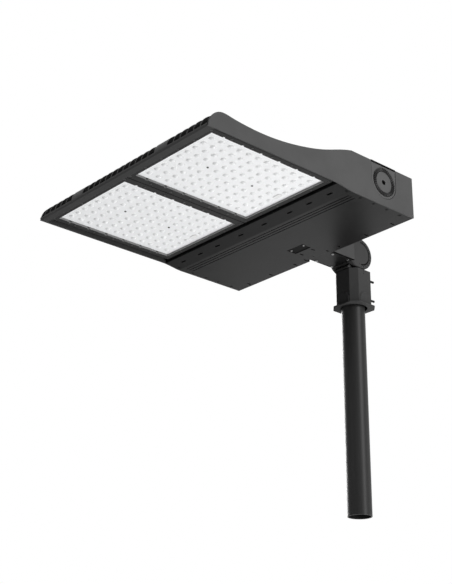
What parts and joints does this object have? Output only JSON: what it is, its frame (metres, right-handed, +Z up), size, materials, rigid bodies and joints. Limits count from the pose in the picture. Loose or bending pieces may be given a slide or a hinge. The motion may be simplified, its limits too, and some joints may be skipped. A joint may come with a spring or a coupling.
{
  "type": "led floodlight",
  "caption": "Pole-top LED floodlight: finned flat head with two lens panels and a driver box, on a tilting knuckle and slipfitter that turns on its pole.",
  "frame": {"origin": "centre of the pole's foot", "axes": "+Z up along the pole, -Y the way the head reaches, X across the head"},
  "size_m": [0.6204, 0.8195, 0.7498],
  "materials": {
    "pole_paint": "satin dark bronze paint",
    "fitter_coat": "fine powder coat over cast metal",
    "arm_coat": "fine powder coat",
    "plate_coat": "fine powder coat on sheet",
    "sink_coat": "satin coat over cast metal",
    "housing_coat": "fine powder coat",
    "frame_coat": "satin black coat",
    "lens_plastic": "frosted white moulded lenses",
    "board": "white solder mask on a metal board",
    "bright_steel": "stainless",
    "dark_steel": "black oxide",
    "rubber": "matte",
    "sealant": "grey potting",
    "driver_case": "bare drawn case",
    "lead_jacket": "cable jacket",
    "cover_plastic": "black moulded",
    "block_plastic": "moulded",
    "surge_plastic": "moulded"
  },
  "bodies": {
    "pole": {"mounting_pole": "pole_paint"},
    "slipfitter": {"slipfitter_body": "fitter_coat", "set_screws": "bright_steel"},
    "head": {"access_cover": "cover_plastic", "access_cover_screws": "bright_steel", "arm_bolts": "bright_steel", "arm_bracket": "arm_coat", "arm_cover": "arm_coat", "arm_cover_screws": "bright_steel", "arm_cover_seal": "rubber", "arm_gasket": "rubber", "board_lead_left": "lead_jacket", "board_lead_right": "lead_jacket", "boss_lock_rings": "dark_steel", "boss_seals": "rubber", "box_bolts": "bright_steel", "cover_gasket": "rubber", "driver_cover": "housing_coat", "driver_cover_screws": "dark_steel", "driver_housing": "housing_coat", "driver_screws": "bright_steel", "frame_screws_left": "bright_steel", "frame_screws_right": "bright_steel", "heat_sink": "sink_coat", "knuckle_bolts": "bright_steel", "knuckle_yoke": "fitter_coat", "lead_grommet_left": "rubber", "lead_grommet_right": "rubber", "led_board_left": "board", "led_board_right": "board", "led_driver_left": "driver_case", "led_driver_right": "driver_case", "lens_frame_left": "frame_coat", "lens_frame_right": "frame_coat", "lens_gasket_left": "rubber", "lens_gasket_right": "rubber", "lens_plate_left": "lens_plastic", "lens_plate_right": "lens_plastic", "lens_screws_left": "bright_steel", "lens_screws_right": "bright_steel", "pivot_bolt": "dark_steel", "pivot_washer": "dark_steel", "side_plate_left": "plate_coat", "side_plate_nuts": "bright_steel", "side_plate_right": "plate_coat", "surge_protector": "surge_plastic", "terminal_block": "block_plastic", "wire_seal_left": "sealant", "wire_seal_right": "sealant", "yoke_boss_left": "plate_coat", "yoke_boss_right": "plate_coat"}
  },
  "joints": [
    {"name": "pan", "type": "hinge", "parent": "pole", "child": "slipfitter", "pos_m": [0, 0, 0.58], "axis": [0, 0, 1], "range_deg": [-180, 180]},
    {"name": "tilt", "type": "hinge", "parent": "slipfitter", "child": "head", "pos_m": [0, -0.006, 0.675], "axis": [-1, 0, 0], "range_deg": [0, 180]}
  ]
}
